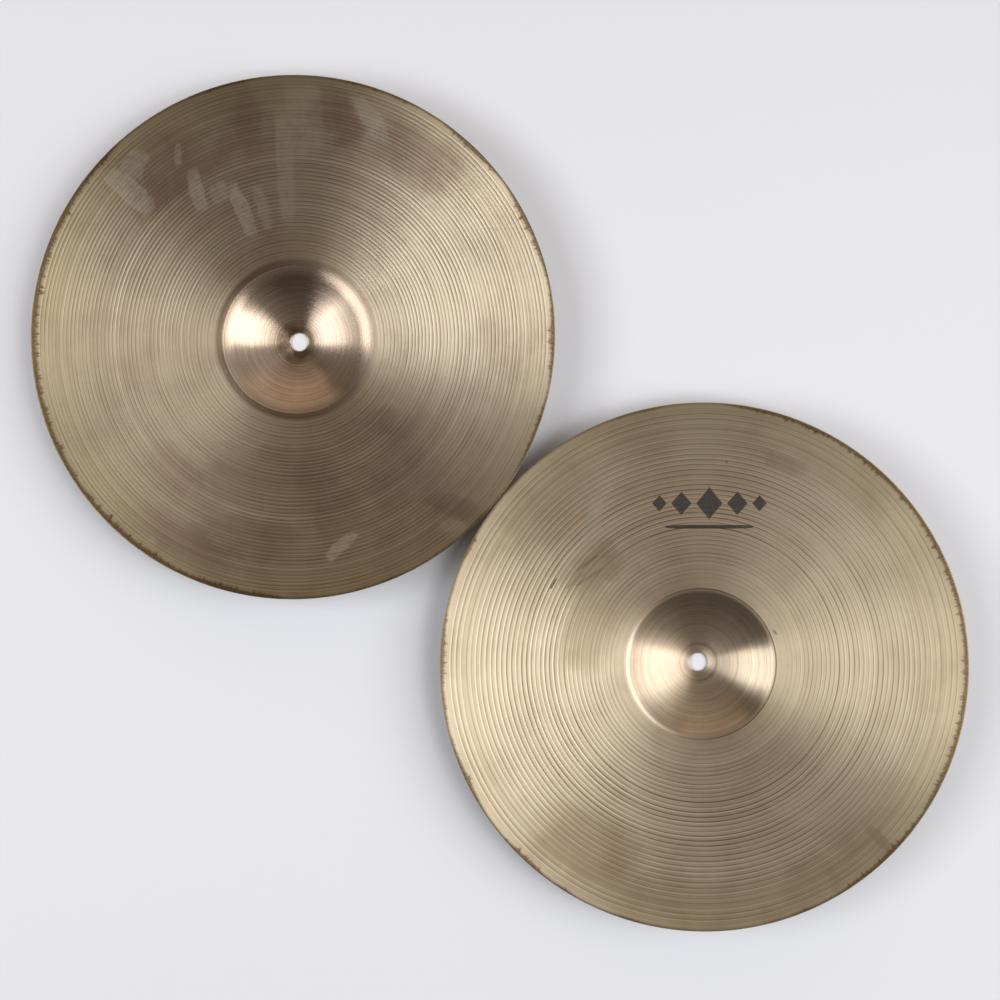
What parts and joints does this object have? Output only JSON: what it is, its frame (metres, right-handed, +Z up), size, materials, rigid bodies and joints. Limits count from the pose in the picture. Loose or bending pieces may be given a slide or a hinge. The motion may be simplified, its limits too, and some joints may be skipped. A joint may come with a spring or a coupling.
{
  "type": "hi-hat cymbal pair",
  "caption": "Loose pair of 14 inch hi-hat cymbals in lathed bronze, lying side by side on their bells with the hollow side up; each has a domed bell, a gently curved bow and a rod hole.",
  "frame": {"origin": "on the surface that both cymbals lie on, midway between them: the bottom centre of the pair's box", "axes": "+Z up, out of the hollow side of both cymbals; +X along the line of centres, from the top cymbal to the bottom cymbal; +Y completes a right-handed frame"},
  "size_m": [0.7116, 0.3556, 0.034],
  "materials": {
    "top_bronze": "lathed bronze with a buffed bell, lightly tarnished and finger-marked",
    "bottom_bronze": "lathed bronze with a satin bell and a small printed ornament"
  },
  "bodies": {
    "bottom": {"bottom_cymbal": "bottom_bronze"},
    "top": {"top_cymbal": "top_bronze"}
  },
  "joints": [
    {"name": "top_lift", "type": "slide", "parent": "bottom", "child": "top", "axis": [0, 0, 1], "range_m": [0, 0.1]}
  ]
}
